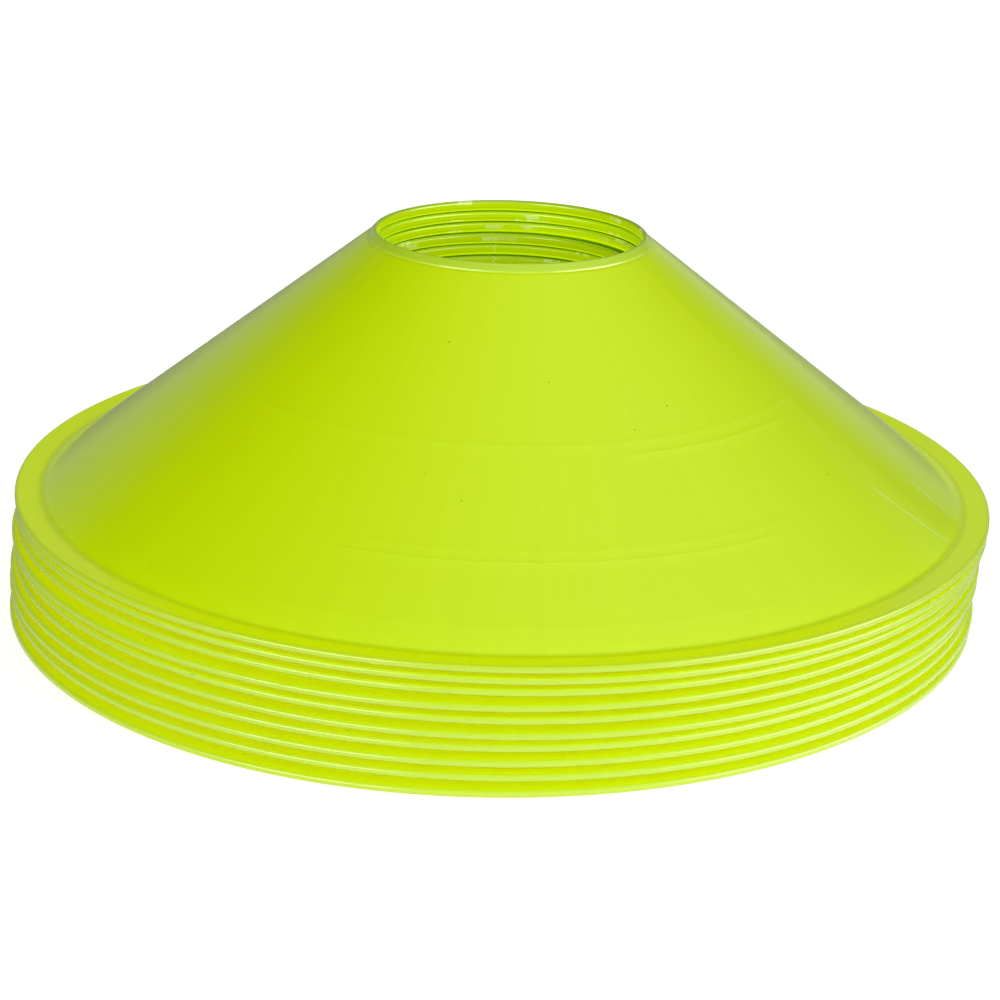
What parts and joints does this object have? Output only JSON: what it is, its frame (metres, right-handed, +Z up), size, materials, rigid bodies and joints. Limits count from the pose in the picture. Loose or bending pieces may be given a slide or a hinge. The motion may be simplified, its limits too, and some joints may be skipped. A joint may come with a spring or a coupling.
{
  "type": "marker disc stack",
  "caption": "Nested stack of open-topped saucer-shaped marker discs for sports drills, each a shallow plastic cone with a thick lip round its hole and a flanged foot.",
  "frame": {"origin": "on the ground, under the middle of the whole stack", "axes": "+Z up along the bottom disc's axis, towards the lips; -Y towards the viewer of the picture, +X to the viewer's right"},
  "size_m": [0.1926, 0.1928, 0.0731],
  "materials": {
    "disc_plastic": "glossy moulded plastic, fluorescent yellow-green"
  },
  "bodies": {
    "disc_01": {"disc_01": "disc_plastic"},
    "disc_02": {"disc_02": "disc_plastic"},
    "disc_03": {"disc_03": "disc_plastic"},
    "disc_04": {"disc_04": "disc_plastic"},
    "disc_05": {"disc_05": "disc_plastic"},
    "disc_06": {"disc_06": "disc_plastic"},
    "disc_07": {"disc_07": "disc_plastic"},
    "disc_08": {"disc_08": "disc_plastic"},
    "disc_09": {"disc_09": "disc_plastic"},
    "disc_10": {"disc_10": "disc_plastic"}
  },
  "joints": [
    {"name": "lift_02", "type": "slide", "parent": "disc_01", "child": "disc_02", "axis": [0, 0, 1], "range_m": [0, 0.06]},
    {"name": "lift_03", "type": "slide", "parent": "disc_02", "child": "disc_03", "axis": [0, 0, 1], "range_m": [0, 0.06]},
    {"name": "lift_04", "type": "slide", "parent": "disc_03", "child": "disc_04", "axis": [0, 0, 1], "range_m": [0, 0.06]},
    {"name": "lift_05", "type": "slide", "parent": "disc_04", "child": "disc_05", "axis": [0, 0, 1], "range_m": [0, 0.06]},
    {"name": "lift_06", "type": "slide", "parent": "disc_05", "child": "disc_06", "axis": [0, 0, 1], "range_m": [0, 0.06]},
    {"name": "lift_07", "type": "slide", "parent": "disc_06", "child": "disc_07", "axis": [0, 0, 1], "range_m": [0, 0.06]},
    {"name": "lift_08", "type": "slide", "parent": "disc_07", "child": "disc_08", "axis": [0, 0, 1], "range_m": [0, 0.06]},
    {"name": "lift_09", "type": "slide", "parent": "disc_08", "child": "disc_09", "axis": [0, 0, 1], "range_m": [0, 0.06]},
    {"name": "lift_10", "type": "slide", "parent": "disc_09", "child": "disc_10", "axis": [0, 0, 1], "range_m": [0, 0.06]}
  ]
}
